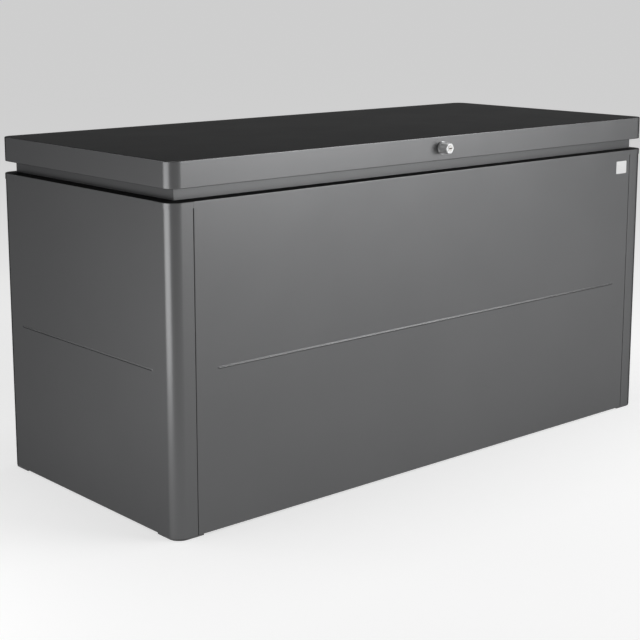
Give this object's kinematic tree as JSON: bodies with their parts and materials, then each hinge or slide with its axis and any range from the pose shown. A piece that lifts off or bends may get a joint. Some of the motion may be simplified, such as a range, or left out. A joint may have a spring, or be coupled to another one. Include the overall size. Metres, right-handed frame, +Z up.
{
  "type": "garden cushion box",
  "caption": "Long rectangular garden box of folded sheet steel for seat cushions, with a lid that lifts on gas springs and a keyed knob that locks it at both ends.",
  "frame": {"origin": "on the ground, under the middle of the box", "axes": "+X along the length, to the right for someone who faces the front, +Y from the front to the rear, +Z up"},
  "size_m": [1.6014, 0.7259, 0.82],
  "materials": {
    "wall_steel": "fine-textured powder coat",
    "lid_steel": "fine-textured powder coat",
    "rim_steel": "fine-textured powder coat",
    "galvanised_steel": "galvanised",
    "bright_steel": "polished",
    "black_steel": "satin black paint",
    "black_plastic": "moulded",
    "knob_metal": "bright plated die casting",
    "foot_plastic": "moulded",
    "lock_metal": "nickel plated",
    "seal_rubber": "soft foam rubber"
  },
  "bodies": {
    "box_body": {"front_wall": "wall_steel", "rear_wall": "wall_steel", "left_side_wall": "wall_steel", "right_side_wall": "wall_steel", "seam_rivets": "wall_steel", "front_top_rail": "rim_steel", "rear_top_rail": "rim_steel", "left_top_rail": "rim_steel", "right_top_rail": "rim_steel", "front_left_corner_cap": "rim_steel", "front_right_corner_cap": "rim_steel", "rear_left_corner_cap": "rim_steel", "rear_right_corner_cap": "rim_steel", "lid_seal": "seal_rubber", "floor_panel": "galvanised_steel", "left_floor_rail": "galvanised_steel", "middle_floor_rail": "galvanised_steel", "right_floor_rail": "galvanised_steel", "floor_rivets": "galvanised_steel", "front_left_foot": "foot_plastic", "front_right_foot": "foot_plastic", "rear_left_foot": "foot_plastic", "rear_right_foot": "foot_plastic", "foot_screws": "galvanised_steel", "hinge_body_leaves": "rim_steel", "hinge_pins": "galvanised_steel", "hinge_body_rivets": "rim_steel", "left_spring_bracket": "galvanised_steel", "right_spring_bracket": "galvanised_steel", "spring_foot_studs": "galvanised_steel", "left_keeper": "rim_steel", "right_keeper": "rim_steel", "keeper_rivets": "rim_steel"},
    "lid": {"lid_shell": "lid_steel", "front_lid_frame": "galvanised_steel", "rear_lid_frame": "galvanised_steel", "left_lid_frame": "galvanised_steel", "right_lid_frame": "galvanised_steel", "lid_stiffeners": "galvanised_steel", "hinge_lid_leaves": "lid_steel", "hinge_lid_rivets": "lid_steel", "left_lid_bracket": "galvanised_steel", "right_lid_bracket": "galvanised_steel", "spring_head_studs": "galvanised_steel", "lock_body": "knob_metal", "lock_nut": "galvanised_steel", "rod_guides": "black_plastic"},
    "knob": {"lock_knob": "knob_metal", "crank_plate": "galvanised_steel"},
    "key_core": {"key_core": "lock_metal"},
    "left_rod": {"left_lock_rod": "galvanised_steel"},
    "right_rod": {"right_lock_rod": "galvanised_steel"},
    "left_spring_cylinder": {"left_foot_socket": "black_plastic", "left_spring_cylinder": "black_steel"},
    "left_spring_rod": {"left_spring_rod": "bright_steel", "left_head_socket": "black_plastic"},
    "right_spring_cylinder": {"right_foot_socket": "black_plastic", "right_spring_cylinder": "black_steel"},
    "right_spring_rod": {"right_spring_rod": "bright_steel", "right_head_socket": "black_plastic"}
  },
  "joints": [
    {"name": "lid_open", "type": "hinge", "parent": "box_body", "child": "lid", "pos_m": [0, 0.32735, 0.77], "axis": [-1, 0, 0], "range_deg": [0, 75]},
    {"name": "knob_turn", "type": "hinge", "parent": "lid", "child": "knob", "pos_m": [0, -0.36, 0.792], "axis": [0, -1, 0], "range_deg": [0, 90]},
    {"name": "key_turn", "type": "hinge", "parent": "knob", "child": "key_core", "pos_m": [0, -0.37, 0.792], "axis": [0, -1, 0], "range_deg": [0, 90]},
    {"name": "left_rod_slide", "type": "slide", "parent": "lid", "child": "left_rod", "axis": [-1, 0, 0], "range_m": [0, 0.02122]},
    {"name": "left_spring_swing", "type": "hinge", "parent": "box_body", "child": "left_spring_cylinder", "pos_m": [-0.738, 0.26, 0.56], "axis": [-1, 0, 0], "range_deg": [0, 25.63]},
    {"name": "left_spring_extend", "type": "slide", "parent": "left_spring_cylinder", "child": "left_spring_rod", "axis": [0, -0.3049, 0.9524], "range_m": [0, 0.11417]},
    {"name": "right_rod_slide", "type": "slide", "parent": "lid", "child": "right_rod", "axis": [1, 0, 0], "range_m": [0, 0.02122]},
    {"name": "right_spring_swing", "type": "hinge", "parent": "box_body", "child": "right_spring_cylinder", "pos_m": [0.738, 0.26, 0.56], "axis": [-1, 0, 0], "range_deg": [0, 25.63]},
    {"name": "right_spring_extend", "type": "slide", "parent": "right_spring_cylinder", "child": "right_spring_rod", "axis": [0, -0.3049, 0.9524], "range_m": [0, 0.11417]}
  ],
  "couplings": [
    {"joint": "left_rod_slide", "follows": "knob_turn", "m_per_rad": 0.013505},
    {"joint": "left_spring_swing", "follows": "lid_open", "ratio": 0.34165},
    {"joint": "left_spring_extend", "follows": "lid_open", "m_per_rad": 0.087208},
    {"joint": "right_rod_slide", "follows": "knob_turn", "m_per_rad": 0.013505},
    {"joint": "right_spring_swing", "follows": "lid_open", "ratio": 0.34165},
    {"joint": "right_spring_extend", "follows": "lid_open", "m_per_rad": 0.087208}
  ]
}
